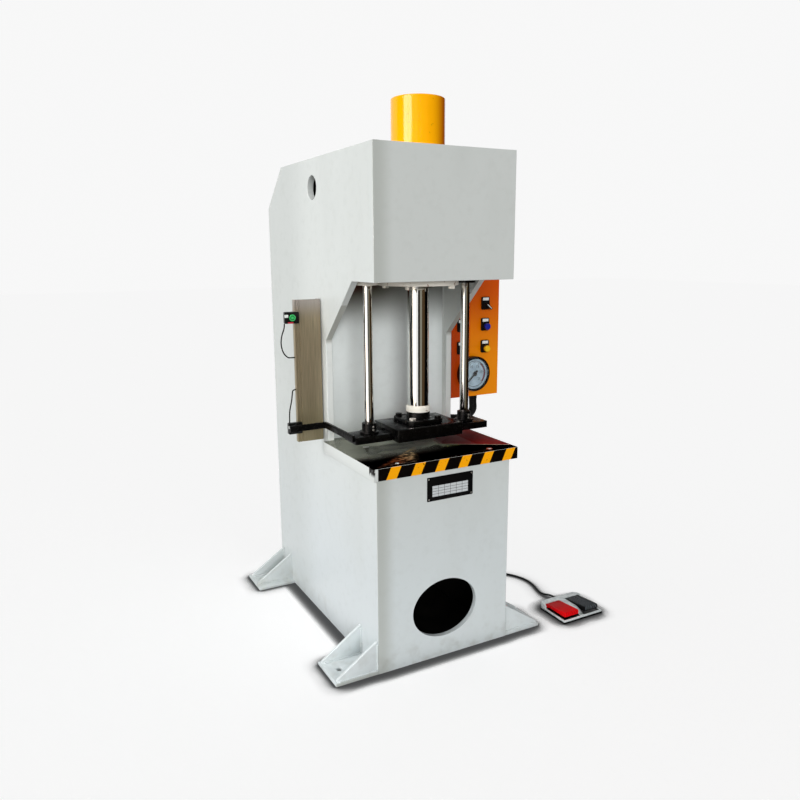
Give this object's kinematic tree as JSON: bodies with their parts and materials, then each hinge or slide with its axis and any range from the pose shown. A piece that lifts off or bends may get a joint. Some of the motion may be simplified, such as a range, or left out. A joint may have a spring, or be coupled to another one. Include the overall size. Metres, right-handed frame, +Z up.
{
  "type": "hydraulic press",
  "caption": "Free-standing hydraulic press with a C-shaped welded frame, a guided ram over a work table, limit switches, a control box and a foot switch.",
  "frame": {"origin": "on the floor, at the middle of the four anchor holes in the feet", "axes": "+X to the machine's right hand, -Y to its front, +Z up"},
  "size_m": [1.2182, 1.1, 2.05],
  "materials": {
    "frame_paint": "light grey-white gloss enamel",
    "interior_primer": "dark primer inside the frame",
    "table_steel": "ground and oiled steel",
    "cylinder_yellow": "yellow gloss enamel",
    "machined_steel": "turned steel",
    "black_steel": "black oxide",
    "hard_chrome": "hard chrome, polished",
    "zinc_fasteners": "zinc plated",
    "bronze": "bearing bronze with a white cap",
    "rail_aluminium": "anodised",
    "sensor_plastic": "black moulded",
    "cable_black": "black sheath",
    "box_grey": "grey powder coat",
    "panel_orange": "orange enamel",
    "button_black": "black moulded",
    "button_blue": "blue moulded",
    "button_yellow": "yellow moulded",
    "knob_black": "black moulded",
    "gauge_black": "black enamel",
    "dial_white": "pale dial",
    "gauge_glass": "clear",
    "plate_black": "black plate",
    "tank_black": "black enamel",
    "motor_grey": "dark grey enamel",
    "pump_iron": "cast",
    "pipe_steel": "drawn tube",
    "cast_aluminium": "die cast",
    "pedal_red": "red moulded",
    "pedal_black": "black moulded"
  },
  "bodies": {
    "frame": {"side_plate_left": "frame_paint", "side_plate_right": "frame_paint", "head_front_plate": "frame_paint", "head_top_plate": "frame_paint", "head_floor_plate": "frame_paint", "throat_plate": "frame_paint", "base_front_plate": "frame_paint", "base_floor_plate": "interior_primer", "back_plate": "frame_paint", "rear_cover": "frame_paint", "work_table": "table_steel", "foot_front_left": "frame_paint", "foot_front_right": "frame_paint", "foot_rear_left": "frame_paint", "foot_rear_right": "frame_paint", "cylinder_barrel": "cylinder_yellow", "cylinder_gland": "machined_steel", "cylinder_bolts": "zinc_fasteners", "guide_bushes": "bronze", "sensor_rail": "rail_aluminium", "limit_sensors": "sensor_plastic", "sensor_cables": "cable_black", "control_box": "box_grey", "control_panel": "panel_orange", "button_holders": "button_black", "gauge_case": "gauge_black", "gauge_dial": "dial_white", "gauge_glass": "gauge_glass", "control_conduit": "cable_black", "name_plate": "plate_black", "oil_tank": "tank_black", "motor": "motor_grey", "pump": "pump_iron", "valve_block": "machined_steel", "oil_pipes": "pipe_steel", "pedal_base": "cable_black", "pedal_housing": "cast_aluminium", "pedal_pin": "machined_steel", "pedal_cord": "cable_black", "cord_coil": "cable_black", "cord_glands": "cable_black"},
    "ram": {"piston": "machined_steel", "piston_rod": "hard_chrome", "rod_ring": "bronze", "ram_flange": "black_steel", "ram_bolts": "black_steel", "platen": "black_steel", "crossbar": "black_steel", "guide_rods": "hard_chrome", "rod_collars": "black_steel", "trigger_arm": "black_steel"},
    "selector_knob": {"selector_knob": "knob_black"},
    "button_blue": {"button_blue": "button_blue"},
    "button_yellow": {"button_yellow": "button_yellow"},
    "button_upper": {"button_upper": "button_black"},
    "button_lower": {"button_lower": "button_black"},
    "gauge_needle": {"gauge_needle": "gauge_black"},
    "motor_shaft": {"motor_shaft": "machined_steel"},
    "pedal_red": {"pedal_red": "pedal_red"},
    "pedal_black": {"pedal_black": "pedal_black"}
  },
  "joints": [
    {"name": "ram_stroke", "type": "slide", "parent": "frame", "child": "ram", "axis": [0, 0, 1], "range_m": [-0.04, 0.42]},
    {"name": "button_blue_press", "type": "slide", "parent": "frame", "child": "button_blue", "axis": [0, 1, 0], "range_m": [0, 0.005], "stiffness_N_per_m": 400, "springref_m": -0.002},
    {"name": "button_yellow_press", "type": "slide", "parent": "frame", "child": "button_yellow", "axis": [0, 1, 0], "range_m": [0, 0.005], "stiffness_N_per_m": 400, "springref_m": -0.002},
    {"name": "button_upper_press", "type": "slide", "parent": "frame", "child": "button_upper", "axis": [0, 1, 0], "range_m": [0, 0.005], "stiffness_N_per_m": 400, "springref_m": -0.002},
    {"name": "button_lower_press", "type": "slide", "parent": "frame", "child": "button_lower", "axis": [0, 1, 0], "range_m": [0, 0.005], "stiffness_N_per_m": 400, "springref_m": -0.002},
    {"name": "selector_turn", "type": "hinge", "parent": "frame", "child": "selector_knob", "pos_m": [0.452, -0.112, 1.295], "axis": [0, -1, 0], "range_deg": [-90, 0]},
    {"name": "needle_turn", "type": "hinge", "parent": "frame", "child": "gauge_needle", "pos_m": [0.388, -0.126, 1.006], "axis": [0, 1, 0], "range_deg": [0, 270]},
    {"name": "motor_spin", "type": "hinge", "parent": "frame", "child": "motor_shaft", "pos_m": [-0.07, 0.18, 0.508], "axis": [0, 1, 0], "continuous": true},
    {"name": "pedal_red_press", "type": "hinge", "parent": "frame", "child": "pedal_red", "pos_m": [0.607, -0.437, 0.019], "axis": [1, 0, 0], "range_deg": [0, 4], "stiffness_Nm_per_rad": 30, "springref_deg": -2.86},
    {"name": "pedal_black_press", "type": "hinge", "parent": "frame", "child": "pedal_black", "pos_m": [0.707, -0.437, 0.019], "axis": [1, 0, 0], "range_deg": [0, 4], "stiffness_Nm_per_rad": 30, "springref_deg": -2.86}
  ]
}
